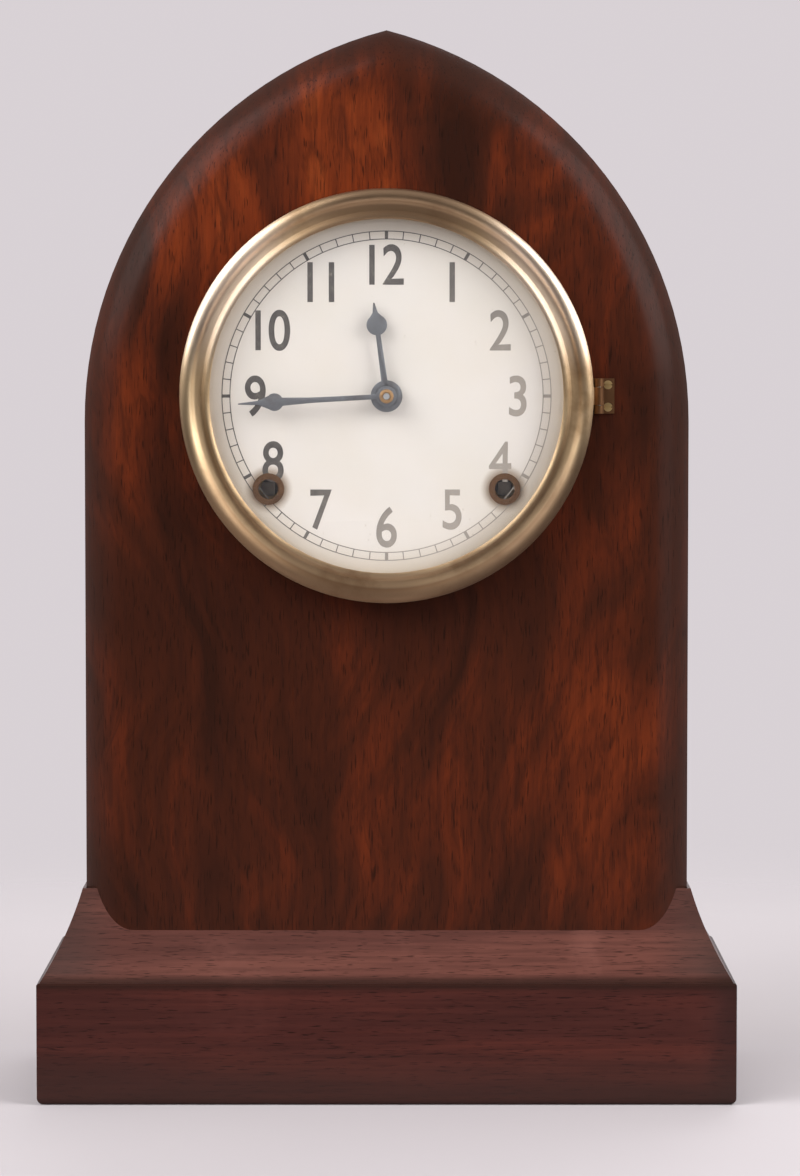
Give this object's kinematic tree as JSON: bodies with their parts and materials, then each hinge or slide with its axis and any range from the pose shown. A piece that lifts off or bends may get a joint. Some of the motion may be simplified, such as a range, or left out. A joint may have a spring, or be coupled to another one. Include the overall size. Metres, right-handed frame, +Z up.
{
  "type": "mantel clock",
  "caption": "Pointed-arch mahogany mantel clock with hinged bezel, domed glass, back door, eight-day pendulum movement and coiled gong.",
  "frame": {"origin": "centre of the bounding box on the surface that the plinth stands on", "axes": "+Z up, the dial faces -Y, +X to the right of someone who faces the dial"},
  "size_m": [0.24, 0.1332, 0.368],
  "materials": {
    "mahogany_front": "glossy flame-figured mahogany veneer",
    "mahogany_side": "glossy straight mahogany veneer",
    "mahogany_base": "glossy mahogany",
    "mahogany_moulding": "worn lighter mahogany",
    "pine": "bare aged pine",
    "bezel_brass": "aged lacquered brass",
    "plate_brass": "plain rolled brass",
    "bright_steel": "bright turned steel",
    "blued_steel": "tempered spring steel",
    "dial_glass": "clear domed glass",
    "dial_paint": "cream painted dial",
    "black_iron": "black japanned iron",
    "gong_steel": "tempered gong wire",
    "hand_steel": "darkened steel"
  },
  "bodies": {
    "root": {"front_board": "mahogany_front", "left_side": "mahogany_side", "right_side": "mahogany_side", "back_board": "pine", "case_floor": "pine", "glue_blocks": "pine", "plinth_front": "mahogany_base", "plinth_sides": "mahogany_base", "plinth_back": "pine", "front_moulding": "mahogany_moulding", "side_mouldings": "mahogany_moulding", "door_hinge_leaves": "plate_brass", "door_hinge_pins": "bright_steel", "case_screws": "plate_brass", "dial_pan": "plate_brass", "dial_plate": "dial_paint", "dial_grommets": "plate_brass", "bezel_hinge_leaf": "bezel_brass", "bezel_hinge_pin": "bright_steel", "front_plate": "plate_brass", "back_plate": "plate_brass", "pillars": "plate_brass", "mounting_posts": "plate_brass", "movement_fasteners": "bright_steel", "mainsprings": "blued_steel", "gong": "gong_steel", "gong_stand": "black_iron"},
    "bezel_set": {"bezel": "bezel_brass", "glass": "dial_glass", "glass_ring": "plate_brass"},
    "door": {"back_door": "pine", "door_hinge_flaps": "plate_brass", "door_knob": "plate_brass"},
    "button": {"door_button": "plate_brass"},
    "minute_hand_arbor": {"centre_arbor": "bright_steel", "minute_hand": "hand_steel", "hand_nut": "plate_brass"},
    "minute_wheel_set": {"minute_wheel": "plate_brass"},
    "hour_hand_wheel": {"hour_wheel": "plate_brass", "hour_hand": "hand_steel"},
    "time_great": {"time_great_wheel": "plate_brass"},
    "time_winder": {"time_winding_arbor": "bright_steel"},
    "time_click_lever": {"time_click": "blued_steel"},
    "time_second": {"time_second_wheel": "plate_brass"},
    "centre_wheel_set": {"centre_wheel": "plate_brass"},
    "third": {"third_wheel": "plate_brass"},
    "escape": {"escape_wheel": "plate_brass"},
    "anchor": {"pallet_anchor": "blued_steel"},
    "pendulum": {"pendulum_rod": "bright_steel", "pendulum_bob": "plate_brass", "rating_nut": "plate_brass", "suspension_spring": "blued_steel"},
    "strike_great": {"strike_great_wheel": "plate_brass"},
    "strike_winder": {"strike_winding_arbor": "bright_steel"},
    "strike_click_lever": {"strike_click": "blued_steel"},
    "strike_second": {"strike_second_wheel": "plate_brass"},
    "strike_pins": {"pin_wheel": "plate_brass"},
    "strike_warning": {"warning_wheel": "plate_brass"},
    "strike_fly": {"fly": "plate_brass"},
    "strike_hammer": {"hammer": "bright_steel"}
  },
  "joints": [
    {"name": "bezel_swing", "type": "hinge", "parent": "root", "child": "bezel_set", "pos_m": [0.0725, -0.0537, 0.243], "axis": [0, 0, 1], "range_deg": [0, 110]},
    {"name": "door_swing", "type": "hinge", "parent": "root", "child": "door", "pos_m": [0.05975, 0.0588, 0.16], "axis": [0, 0, -1], "range_deg": [0, 110]},
    {"name": "button_turn", "type": "hinge", "parent": "root", "child": "button", "pos_m": [-0.068, 0.05865, 0.155], "axis": [0, 1, 0], "range_deg": [0, 90]},
    {"name": "hands_turn", "type": "hinge", "parent": "root", "child": "minute_hand_arbor", "pos_m": [0, -0.021, 0.243], "axis": [0, 1, 0], "continuous": true},
    {"name": "minute_wheel_turn", "type": "hinge", "parent": "root", "child": "minute_wheel_set", "pos_m": [0.006, -0.036, 0.23261], "axis": [0, 1, 0], "continuous": true},
    {"name": "hour_hand_turn", "type": "hinge", "parent": "root", "child": "hour_hand_wheel", "pos_m": [0, -0.046, 0.243], "axis": [0, 1, 0], "continuous": true},
    {"name": "third_turn", "type": "hinge", "parent": "root", "child": "third", "pos_m": [0.00554, -0.011, 0.26429], "axis": [0, 1, 0], "continuous": true},
    {"name": "centre_turn", "type": "hinge", "parent": "root", "child": "centre_wheel_set", "pos_m": [0, -0.011, 0.243], "axis": [0, 1, 0], "continuous": true},
    {"name": "time_second_turn", "type": "hinge", "parent": "root", "child": "time_second", "pos_m": [0.02388, -0.011, 0.23496], "axis": [0, 1, 0], "continuous": true},
    {"name": "time_great_turn", "type": "hinge", "parent": "root", "child": "time_great", "pos_m": [0.0403, -0.025, 0.2113], "axis": [0, 1, 0], "continuous": true},
    {"name": "escape_turn", "type": "hinge", "parent": "root", "child": "escape", "pos_m": [0, -0.011, 0.284], "axis": [0, 1, 0], "continuous": true},
    {"name": "time_wind", "type": "hinge", "parent": "time_great", "child": "time_winder", "pos_m": [0.0403, -0.023, 0.2113], "axis": [0, 1, 0], "continuous": true},
    {"name": "time_click_lift", "type": "hinge", "parent": "time_great", "child": "time_click_lever", "pos_m": [0.05222, -0.0224, 0.21764], "axis": [0, 1, 0], "range_deg": [0, 18]},
    {"name": "pendulum_swing", "type": "hinge", "parent": "root", "child": "pendulum", "pos_m": [0, 0.017, 0.2987], "axis": [0, 1, 0], "range_deg": [-4, 4]},
    {"name": "anchor_rock", "type": "hinge", "parent": "root", "child": "anchor", "pos_m": [0, -0.001, 0.2987], "axis": [0, 1, 0], "range_deg": [-4, 4]},
    {"name": "warning_turn", "type": "hinge", "parent": "root", "child": "strike_warning", "pos_m": [-0.02562, -0.011, 0.27476], "axis": [0, 1, 0], "continuous": true},
    {"name": "fly_turn", "type": "hinge", "parent": "root", "child": "strike_fly", "pos_m": [-0.02808, -0.011, 0.28872], "axis": [0, 1, 0], "continuous": true},
    {"name": "pin_wheel_turn", "type": "hinge", "parent": "root", "child": "strike_pins", "pos_m": [-0.02853, -0.011, 0.25827], "axis": [0, 1, 0], "continuous": true},
    {"name": "strike_second_turn", "type": "hinge", "parent": "root", "child": "strike_second", "pos_m": [-0.0353, -0.011, 0.23966], "axis": [0, 1, 0], "continuous": true},
    {"name": "strike_great_turn", "type": "hinge", "parent": "root", "child": "strike_great", "pos_m": [-0.0403, -0.025, 0.2113], "axis": [0, 1, 0], "continuous": true},
    {"name": "strike_wind", "type": "hinge", "parent": "strike_great", "child": "strike_winder", "pos_m": [-0.0403, -0.023, 0.2113], "axis": [0, 1, 0], "continuous": true},
    {"name": "strike_click_lift", "type": "hinge", "parent": "strike_great", "child": "strike_click_lever", "pos_m": [-0.02838, -0.0224, 0.21764], "axis": [0, 1, 0], "range_deg": [0, 18]},
    {"name": "hammer_lift", "type": "hinge", "parent": "root", "child": "strike_hammer", "pos_m": [-0.014, 0.009, 0.223], "axis": [0, 1, 0], "range_deg": [0, 12]}
  ],
  "couplings": [
    {"joint": "minute_wheel_turn", "follows": "hands_turn", "ratio": -0.33333},
    {"joint": "hour_hand_turn", "follows": "hands_turn", "ratio": 0.083333},
    {"joint": "centre_turn", "follows": "third_turn", "ratio": -0.1},
    {"joint": "time_second_turn", "follows": "third_turn", "ratio": 0.075},
    {"joint": "time_great_turn", "follows": "third_turn", "ratio": -0.0083333},
    {"joint": "escape_turn", "follows": "third_turn", "ratio": -12},
    {"joint": "anchor_rock", "follows": "pendulum_swing", "ratio": 1},
    {"joint": "fly_turn", "follows": "warning_turn", "ratio": -8},
    {"joint": "pin_wheel_turn", "follows": "warning_turn", "ratio": -0.11667},
    {"joint": "strike_second_turn", "follows": "warning_turn", "ratio": 0.014583},
    {"joint": "strike_great_turn", "follows": "warning_turn", "ratio": -0.0016204}
  ]
}
